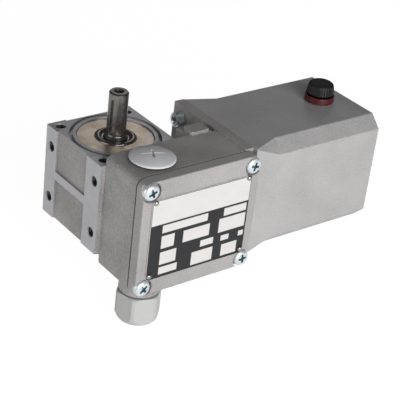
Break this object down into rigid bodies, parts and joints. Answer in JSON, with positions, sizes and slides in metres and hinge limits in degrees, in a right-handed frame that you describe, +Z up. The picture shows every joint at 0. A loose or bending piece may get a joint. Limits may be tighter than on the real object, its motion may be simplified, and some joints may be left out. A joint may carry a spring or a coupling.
{
  "type": "dc gear motor",
  "caption": "Right-angle DC worm gear motor: cast gearbox with vertical output shaft, brush motor in a chamfered housing, terminal box with plug and cable gland.",
  "frame": {"origin": "on the output shaft's axis, in the bottom mounting face of the gear case", "axes": "+Z up along the output shaft, +X along the motor axis towards the motor's far end, -Y towards the terminal cover"},
  "size_m": [0.1426, 0.0759, 0.0955],
  "materials": {
    "cast_aluminium": "die cast, bead blasted",
    "blasted_aluminium": "fine blasted",
    "turned_bronze": "turned",
    "dark_steel": "ground",
    "bright_steel": "machined",
    "zinc": "bright zinc plated",
    "black_rubber": "moulded",
    "copper": "wound or turned",
    "carbon": "pressed graphite",
    "ferrite": "sintered",
    "red_resin": "moulded resin",
    "black_resin": "moulded resin",
    "grey_plastic": "moulded",
    "pale_plastic": "moulded",
    "plate_paint": "printed foil, white and black"
  },
  "bodies": {
    "base": {"gear_case": "cast_aluminium", "terminal_cover": "cast_aluminium", "motor_housing": "blasted_aluminium", "bearing_cover": "turned_bronze", "lower_output_bearing": "bright_steel", "upper_output_bearing": "bright_steel", "shaft_seal": "black_rubber", "worm_end_bearing": "bright_steel", "front_motor_bearing": "bright_steel", "rear_motor_bearing": "bright_steel", "front_magnet": "ferrite", "back_magnet": "ferrite", "flux_ring": "bright_steel", "upper_brush_holder": "red_resin", "lower_brush_holder": "red_resin", "upper_brush": "carbon", "lower_brush": "carbon", "upper_brush_spring": "bright_steel", "lower_brush_spring": "bright_steel", "flange_screw_1": "zinc", "flange_screw_2": "zinc", "flange_screw_3": "zinc", "flange_screw_4": "zinc", "cover_screw_1": "zinc", "cover_screw_2": "zinc", "cover_screw_3": "zinc", "cover_screw_4": "zinc", "cover_gasket": "black_rubber", "nameplate": "plate_paint", "nameplate_rivet_1": "zinc", "nameplate_rivet_2": "zinc", "nameplate_rivet_3": "zinc", "nameplate_rivet_4": "zinc", "plug_seal": "black_rubber", "gland_body": "pale_plastic", "gland_gasket": "black_rubber", "gland_sleeve": "black_rubber", "terminal_block": "black_resin", "terminal_screw_1": "zinc", "terminal_screw_2": "zinc"},
    "output": {"output_shaft": "dark_steel", "worm_wheel": "turned_bronze", "wheel_key": "bright_steel", "retaining_ring": "bright_steel"},
    "armature": {"worm_shaft": "bright_steel", "armature_core": "bright_steel", "front_end_winding": "copper", "rear_end_winding": "copper", "commutator": "copper"},
    "gland_clamp_nut": {"gland_nut": "pale_plastic"},
    "upper_cap": {"upper_brush_cap": "black_resin"},
    "lower_cap": {"lower_brush_cap": "black_resin"},
    "plug": {"blanking_plug": "grey_plastic"}
  },
  "joints": [
    {"name": "armature_spin", "type": "hinge", "parent": "base", "child": "armature", "pos_m": [0, -0.0198, 0.0225], "axis": [1, 0, 0], "continuous": true},
    {"name": "output_spin", "type": "hinge", "parent": "base", "child": "output", "pos_m": [0, 0, 0.0225], "axis": [0, 0, 1], "continuous": true},
    {"name": "gland_nut_turn", "type": "hinge", "parent": "base", "child": "gland_clamp_nut", "pos_m": [-0.0073, -0.0382, -0.02], "axis": [0, 0, -1], "range_deg": [0, 360]},
    {"name": "upper_cap_turn", "type": "hinge", "parent": "base", "child": "upper_cap", "pos_m": [0.1048, -0.0198, 0.057], "axis": [0, 0, 1], "range_deg": [0, 360]},
    {"name": "lower_cap_turn", "type": "hinge", "parent": "base", "child": "lower_cap", "pos_m": [0.1048, -0.0198, -0.012], "axis": [0, 0, -1], "range_deg": [0, 360]},
    {"name": "plug_turn", "type": "hinge", "parent": "base", "child": "plug", "pos_m": [-0.0048, -0.0352, 0.051], "axis": [0, 0, 1], "range_deg": [0, 360]}
  ],
  "couplings": [
    {"joint": "output_spin", "follows": "armature_spin", "ratio": -0.04}
  ]
}
